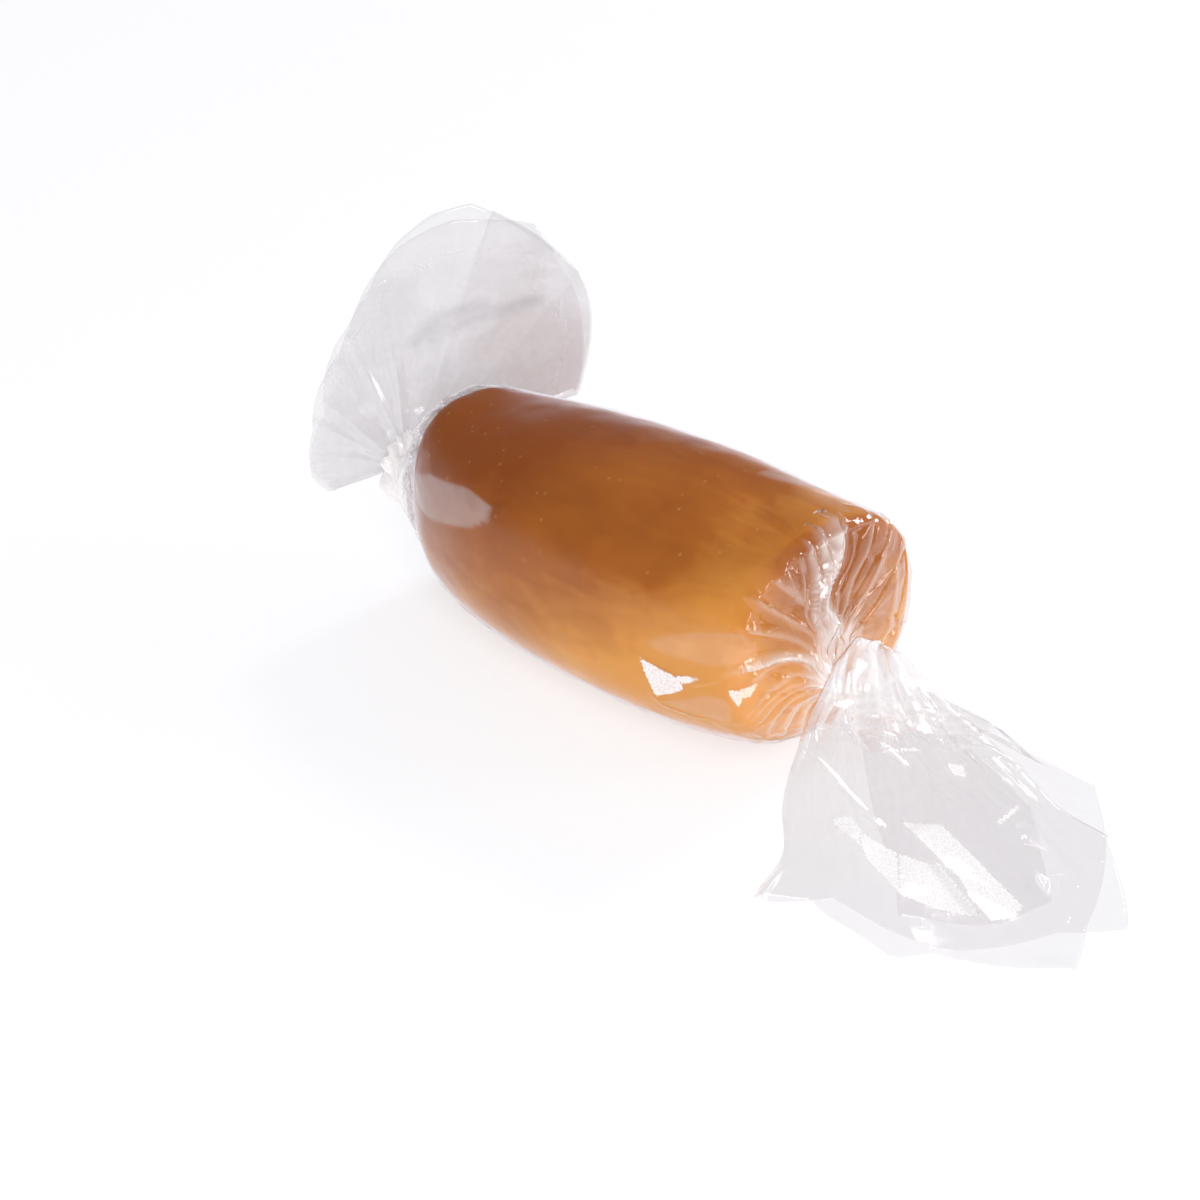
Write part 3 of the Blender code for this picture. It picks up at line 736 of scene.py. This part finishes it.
# A tail: the sheet flattened and fanned out from the neck, folding back and forth across the fan in layers.
# u and v are mm along and across it, w is out from it, and s is the share of the way from neck to free edge.
def tailGrid(tail, neck, share, start):
    heading = np.interp(roll, *zip(*tail["headings"]))
    layer = np.interp(roll, *zip(*tail["layers"]))
    s = share[:, None]
    reach = np.zeros(roll.shape)
    for (begin, end), table in tail["edges"]:
        part = (roll >= begin) & (roll <= end)
        reach[part] = np.interp(heading[part], *zip(*table))
    opened = ease(s / tail["opening"])
    widen = 1 + tail["flare"] * (1 - s) ** 2 - tail["waist"] * np.exp(-(((s - 0.82) / 0.13) ** 2))
    spread = np.radians(tail["middle"] + (heading - tail["middle"]) * widen)
    r = s * reach * (0.5 + 0.5 * opened)
    u, v = r * np.cos(spread), r * np.sin(spread) * opened
    point = tail["origin"] + tail["along"] * u[..., None] + tail["across"] * v[..., None]
    if tail["floor"]:
        point[..., 2] = tail["floor"] + np.logaddexp(0, point[..., 2] - tail["floor"])
    gap = (tail["gap"] + tail["swell"] * np.exp(-(((r - 4.5) / 4) ** 2))) * opened
    calm = 1 - 0.85 * ease((v - tail["calm"]) / 4)
    w = layer * gap + tail["wave"] * softNoise(u, v, 17.0, tail["seed"]) * s**1.3 * calm
    w = w + tail["loose"] * softNoise(u + 40 * layer, v, 9.0, tail["seed"] + 1) * s * calm
    facets = facetWaves(u + 0.8 * softNoise(u, v, 7, tail["seed"] + 2) + 9 * layer, v, tail["waves"])
    w = w + 0.055 * facets * opened * (0.4 + 0.6 * calm)
    top = layer > 0.9
    for band in tail["bands"]:
        rise = np.clip(ridgeOver(u, v, band["path"], band["wide"]), 0, 1)
        begin, end = band["path"][0][0], band["path"][-1][0]
        ends = np.clip((u - begin + 1.5) / 1.5, 0, 1) * np.clip((end + 1.5 - u) / 1.5, 0, 1)
        w = w + band["tall"] * rise * ends * top
    # creases raised in the film, also whitened in the haze as painted highlights
    lines = np.zeros(u.shape)
    for path in tail["creases"]:
        lines = np.maximum(lines, ridgeOver(u, v, smoothed(path), (0.3, 0.45)) * top)
    w = w + 0.15 * lines
    # gathers that run out of the neck, most of them short
    draw = np.random.default_rng(tail["seed"])
    crest = np.zeros(u.shape)
    shifted = np.zeros(u.shape)
    alongRoll = roll * tail["roll length"]
    for k in range(tail["gathers"]):
        place, wide = draw.uniform(0, 1), draw.uniform(0.3, 1.0)
        ends, tall = draw.uniform(4.5, 9.5), tail["tall"] * draw.uniform(0.3, 1.0)
        if k < len(tail["long"]):
            place, ends, tall, wide = *tail["long"][k], 0.45
        away = np.abs(alongRoll - place * tail["roll length"]) * np.radians(1) * np.maximum(r, 1.3)
        rise = np.clip(1 - away / wide, 0, 1) * np.clip(1 - r / ends, 0, 1) ** 0.8 * np.clip(r / 3.5, 0.15, 1)
        crest = np.maximum(crest, rise)
        w = w + np.sign(layer + 0.01) * tall * rise
        shifted = shifted + draw.uniform(-1.0, 1.0) * tall * rise
    point = point + tail["out"] * w[..., None] + tail["across"] * (shifted * 0.8)[..., None]
    turned = theta + film["twist"] * np.sign(neck[0]) * (1 + 3.6 * s)
    radius = (neckRadius[int(np.sign(neck[0]))] + lift * 1.5) * (1 - opened)
    point = point + np.stack([np.zeros_like(turned), radius * np.cos(turned), radius * np.sin(turned)], -1)
    point = point + (neck - tail["origin"]) * (1 - opened)[..., None]
    blend = ease(1 - s / 0.05)[..., None]
    point = point * (1 - blend) + (start + (point - point[:1])) * blend
    # painted glints inside their outlines, on the top layer
    paintedGlint = np.full(u.shape, -1.0)
    for corners in tail["paintedGlints"]:
        paintedGlint = np.maximum(paintedGlint, insideBy(u, v, corners))
    paintedGlint = np.where(top, paintedGlint, -1.0)
    white = np.interp(heading, *zip(*tail["white"]))
    streaks = np.clip(softNoise(alongRoll, r * 0.5, 4.5, tail["seed"] + 5), 0, 1) * np.exp(-((r / 15) ** 2))
    nearNeck = np.exp(-((r / white) ** 2))
    # painted light: on the front tail the white by the neck glows, and the creases add painted highlights
    hazeAndPaintedLight = tail["haze"] + nearNeck * (0.72 + 0.5 * streaks) + 0.6 * crest + 0.16 * streaks + 0.5 * lines
    hazeAndPaintedLight = hazeAndPaintedLight * (1 - tail["clearer edge"] * ease((s - 0.72) / 0.28))
    tint = np.full(u.shape, tail["tint"])
    for line in tail["dark"]:
        shaded = ease(ridgeOver(u, v, smoothed(line["path"]), line["wide"]))
        tint = np.maximum(tint, 1 + line["shade"] * shaded)
    return point, np.clip(hazeAndPaintedLight + np.maximum(tint - 1, 0), 0, 1), paintedGlint, tint


frontHeading, frontSlope = math.radians(-26), math.radians(16)
levelWay = np.array([math.cos(frontHeading), math.sin(frontHeading), 0.0])
frontAlong = levelWay * math.cos(frontSlope) - np.array([0, 0, math.sin(frontSlope)])
frontAcross = np.array([-levelWay[1], levelWay[0], 0.0])
frontTail = {
    "origin": np.array([21.4, -1.0, 9.1]),
    "along": frontAlong, "across": frontAcross, "out": np.cross(frontAlong, frontAcross),
    "rows": 105, "seed": 3, "floor": 1.7,
    "middle": -0.5, "flare": 0.46, "waist": 0.08, "opening": 0.17,  # how it fans out
    "gap": 0.45, "swell": 0.85,  # mm from layer to layer, and more of it by the neck
    "wave": 0.22, "loose": 0.15, "calm": 2.5,  # it lies still beyond this place across it
    "haze": 0.08, "clearer edge": 0.0, "tint": 0.0,
    "gathers": 60, "tall": 1.4, "roll length": 196,  # degrees that the whole roll takes up in the fan
    # the longest gathers: share of the roll, where each one ends and its height
    "long": [(0.66, 15.5, 0.5), (0.69, 16.5, 0.5), (0.71, 12.0, 0.6), (0.78, 13.0, 0.5), (0.012, 14.0, 0.4),
             (0.08, 11.0, 0.5)],
    # the white by the neck is haze that also takes a painted glow
    "white": [(-40, 5.0), (0, 7.2), (40, 10.5)],  # degrees across the fan, and how far the white reaches
    "waves": [(1.0, 0.5, 6.1, 0.1), (0.8, 1.9, 4.7, 0.45), (0.6, 2.6, 3.3, 0.8)],
    # degrees across the fan at shares of the roll: the top layer from its free edge, the lower one,
    # then a short third one
    "headings": [(0, 27), (0.335, -38), (0.73, 38), (1, -15)],
    "layers": [(0, 1), (0.325, 1), (0.347, -1), (0.718, -1), (0.742, 0), (1, 0)],
    # degrees across the fan and distance from the neck to the free edge, for each of those layers
    "edges": [
        ((0, 0.335), [(-39, 22.9), (-29, 22.3), (-21, 25.3), (-17, 26.9), (-12, 26.5), (-4, 28.0), (5, 30.0),
                      (11, 26.8), (26, 22.0)]),
        ((0.335, 0.73), [(-39, 22.9), (-25, 21.5), (-8, 25.6), (8, 26.0), (17, 27.8), (23, 24.5), (28, 21.7),
                         (38, 18.6)]),
        ((0.73, 1), [(-15, 23.0), (0, 24.3), (10, 23.8), (15, 20.2), (22, 16.8), (24, 11.2), (30, 10.0),
                     (36, 11.0), (38, 18.6)]),
    ],
    # low swells under the painted glints, along and across the tail
    "bands": [
        {"path": [(15.6, -6.6), (21.3, -5.6)], "wide": (3.5, 3.2), "tall": 0.42},
        {"path": [(16.3, -2.6), (24.5, -0.9)], "wide": (0.5, 2.7), "tall": 0.38},
    ],
    "dark": [],
    # white creases that curve over to the right edge, and a few at the left one, along and across the tail;
    # their white is partly painted highlight
    "creases": [
        [(7.4, 0.6), (8.6, 2.8), (9.2, 5.8), (10.2, 7.8)],
        [(9.8, 3.0), (10.6, 5.2), (12.0, 6.6), (13.6, 8.2)],
        [(8.8, -1.6), (9.8, -1.2), (10.8, -0.8)],
        [(6.0, -2.6), (7.0, 0.0), (8.0, 3.0), (8.6, 5.2)],
        [(4.6, -4.4), (5.4, -2.2), (6.2, 0.0), (7.4, 3.4)],
        [(6.4, -5.2), (7.2, -3.2), (8.4, -0.8)],
        [(11.4, 5.2), (14.0, 5.8), (15.4, 6.2)],
        [(4.4, -1.4), (4.8, 1.4), (5.0, 4.2)],
        [(7.2, -7.4), (8.8, -6.2), (12.6, -5.2), (15.4, -4.4)],
    ],
    # corners of the painted glints, along and across the tail
    "paintedGlints": [
        [(13.8, -7.0), (13.9, -5.7), (15.4, -5.6), (16.2, -6.2), (15.2, -7.0)],
        [(15.2, -5.9), (17.5, -4.0), (21.3, -5.4), (17.6, -6.3)],
        [(17.5, -4.0), (19.4, -1.9), (24.0, -1.0), (21.2, -5.5)],
        [(15.0, -2.9), (16.0, -0.3), (20.7, 1.1), (20.3, -1.3), (16.3, -2.6)],
        [(20.7, 1.1), (23.9, 2.1), (24.6, -0.7), (20.0, -1.35)],
        [(11.0, 2.2), (11.4, 3.2), (12.5, 3.2), (12.1, 2.2)],
        [(16.7, 3.1), (15.6, 5.2), (16.1, 5.3), (17.2, 3.2)],
        [(9.1, -1.7), (9.6, 1.0), (9.85, 0.9), (9.5, -1.8)],
        [(8.5, -1.6), (9.4, -0.6), (9.7, -0.8), (8.8, -1.8)],
    ],
}
rearLean = math.radians(10)
backward = math.sin(rearLean) * math.sqrt(0.5)
rearAlong = np.array([-backward, backward, math.cos(rearLean)])
rearAcross = np.array([0.58, 0.81, 0.0])
rearAcross -= rearAlong * (rearAcross @ rearAlong)
rearAcross /= np.linalg.norm(rearAcross)
rearTail = {
    "origin": np.array([-24.6, -1.6, 8.5]),
    "along": rearAlong, "across": rearAcross, "out": -np.cross(rearAlong, rearAcross),
    "rows": 72, "seed": 12, "floor": None,
    "middle": -16.0, "flare": 0.15, "waist": 0.0, "opening": 0.22,
    "gap": 0.8, "swell": 0.3,
    "wave": 0.4, "loose": 0.04, "calm": 99,
    "haze": 0.60, "clearer edge": 0.45, "tint": 1.0,
    "gathers": 30, "tall": 0.4, "roll length": 380,
    "long": [(0.30, 15.0, 0.5), (0.34, 13.0, 0.5), (0.72, 14.0, 0.4)],
    "white": [(-98, 8.0), (-30, 7.0), (66, 5.5)],
    "waves": [(1.0, 0.9, 6.6, 0.3), (0.7, 2.2, 5.1, 0.15), (0.5, 2.9, 3.9, 0.5)],
    "headings": [(0, 20), (0.12, 72), (0.55, -114), (0.93, 72), (1, 45)],
    "layers": [(0, 0), (0.11, 0), (0.13, 1), (0.54, 1), (0.56, -1), (0.92, -1), (0.94, -0.5), (1, -0.5)],
    "edges": [
        ((0, 0.55), [(-114, 6.4), (-98, 7.6), (-70, 7.8), (-29, 10.2), (-11, 13.7), (-1, 17.2), (7, 19.5),
                     (15, 20.9), (37, 20.2), (45, 19.9), (53, 18.5), (66, 15.5), (72, 14.4)]),
        ((0.55, 1), [(-114, 6.4), (-98, 7.6), (-60, 7.2), (-20, 11.5), (0, 16.6), (12, 19.0), (30, 20.9),
                     (50, 18.2), (66, 15.5), (72, 14.4)]),
    ],
    "bands": [],
    "creases": [],
    # shaded creases, along and across the tail
    "dark": [
        {"path": [(9.3, 0.9), (10.2, 1.8), (11.3, 3.4), (12.1, 6.4)], "wide": (0.8, 0.8), "shade": 0.42},
        {"path": [(9.6, 2.2), (10.6, 4.0), (11.5, 6.8), (12.4, 10.4)], "wide": (0.6, 1.1), "shade": 0.36},
        {"path": [(14.0, 6.0), (16.6, 11.6)], "wide": (2.6, 3.2), "shade": 0.12},
    ],
    "paintedGlints": [],
}
for name, tail, neck, start in (
    ("filmFrontTail", frontTail, necks["front"], frontEndGrid[-1]),
    ("filmRearTail", rearTail, necks["rear"], bodyGrid[0]),
):
    shares = np.linspace(0, 1, tail["rows"]) ** 1.1
    grid, hazeAndPaintedLight, paintedGlint, tint = tailGrid(tail, neck, shares, start)
    shell(name, grid, hazeAndPaintedLight, paintedGlint, 1.0, tint, rim=True)
print("tails made")

floorLook = {"size": 3.0, "base": (0.34, 0.34, 0.343, 1), "glow": (0.98, 0.98, 1.0, 1), "glow strength": 0.70}
half = floorLook["size"]
floorMesh = bpy.data.meshes.new("floor")
floorCorners = [(-half, -half, 0), (half, -half, 0), (half, half, 0), (-half, half, 0)]
floorMesh.from_pydata(floorCorners, [], [(0, 1, 2, 3)])
floor = bpy.data.objects.new("floor", floorMesh)
floor.location.z = -0.00002
bpy.context.scene.collection.objects.link(floor)
floorMaterial, tree, shader, coords = newMaterial("paleFloor")
shader.inputs["Base Color"].default_value = floorLook["base"]
shader.inputs["Roughness"].default_value = 0.6
shader.inputs["Specular IOR Level"].default_value = 0.1
# a sheet of lit white acrylic, so that shadows stay faint
shader.inputs["Emission Color"].default_value = floorLook["glow"]
shader.inputs["Emission Strength"].default_value = floorLook["glow strength"]
floorMesh.materials.append(floorMaterial)

world = bpy.data.worlds.new("studio")
bpy.context.scene.world = world
world.use_nodes = True
tree = world.node_tree
back = tree.nodes["Background"]
direction = node(tree, "ShaderNodeSeparateXYZ")
tree.links.new(tree.nodes.new("ShaderNodeTexCoord").outputs["Generated"], direction.inputs[0])
# what the film reflects: a bright horizon under a dark ceiling
ramp = node(tree, "ShaderNodeValToRGB")
stops = [(0.0, (0.92, 0.91, 0.94, 1)), (0.05, (0.58, 0.56, 0.61, 1)), (0.30, (0.09, 0.088, 0.095, 1))]
ramp.color_ramp.elements.new(0.5)
for element, (place, colour) in zip(ramp.color_ramp.elements, stops):
    element.position = place
    element.color = colour
tree.links.new(direction.outputs["Z"], ramp.inputs[0])
tree.links.new(ramp.outputs[0], back.inputs["Color"])
fill = node(tree, "ShaderNodeBackground")
fill.inputs["Color"].default_value = (0.97, 0.97, 1.0, 1)
fill.inputs["Strength"].default_value = 0.50
rays = node(tree, "ShaderNodeLightPath")
sky = mixShader(tree, rays.outputs["Is Glossy Ray"], fill.outputs[0], back.outputs[0])
tree.links.new(sky, tree.nodes["World Output"].inputs["Surface"])

lamps = [
    # name, place, aim, width, height, power
    ("backLight", (-0.055, 0.53, 0.39), (0.01, -0.004, 0.01), 0.09, 0.09, 1.0),
    ("keyLight", (0.44, -0.34, 0.50), (0, 0, 0.01), 0.34, 0.34, 2.7),
    ("rightLight", (0.50, 0.50, 0.25), (0, 0, 0.01), 0.30, 0.20, 1.1),
]
for name, place, aim, width, height, power in lamps:
    data = bpy.data.lights.new(name, "AREA")
    data.shape, data.size, data.size_y, data.energy = "RECTANGLE", width, height, power
    lamp = bpy.data.objects.new(name, data)
    lamp.location = place
    lamp.rotation_euler = (Vector(aim) - Vector(place)).to_track_quat("-Z", "Y").to_euler()
    bpy.context.scene.collection.objects.link(lamp)

view = {
    "azimuth": math.radians(45), "elevation": math.radians(28), "distance": 0.190, "aim height": 0.009,
    "lens": 77.52, "sensor": 36, "shift": (-40.7, -53.3), "pixels": 1200,
}
backWay = Vector((
    math.sin(view["azimuth"]) * math.cos(view["elevation"]),
    -math.cos(view["azimuth"]) * math.cos(view["elevation"]),
    math.sin(view["elevation"]),
))
camera = bpy.data.objects.new("camera", bpy.data.cameras.new("camera"))
camera.location = Vector((moved[0] * mm, moved[1] * mm, view["aim height"])) + backWay * view["distance"]
camera.rotation_euler = (-backWay).to_track_quat("-Z", "Y").to_euler()
camera.data.lens = view["lens"]
camera.data.sensor_width = view["sensor"]
camera.data.shift_x = view["shift"][0] / view["pixels"]
camera.data.shift_y = view["shift"][1] / view["pixels"]
camera.data.clip_start, camera.data.clip_end = 0.01, 20
bpy.context.scene.collection.objects.link(camera)
bpy.context.scene.camera = camera
cycles = bpy.context.scene.cycles
cycles.transparent_max_bounces = 64
cycles.max_bounces, cycles.diffuse_bounces, cycles.glossy_bounces = 5, 2, 2
cycles.adaptive_threshold = 0.04
bpy.context.scene.view_settings.view_transform = "Standard"
print("floor, light and camera made")

bpy.context.view_layer.update()
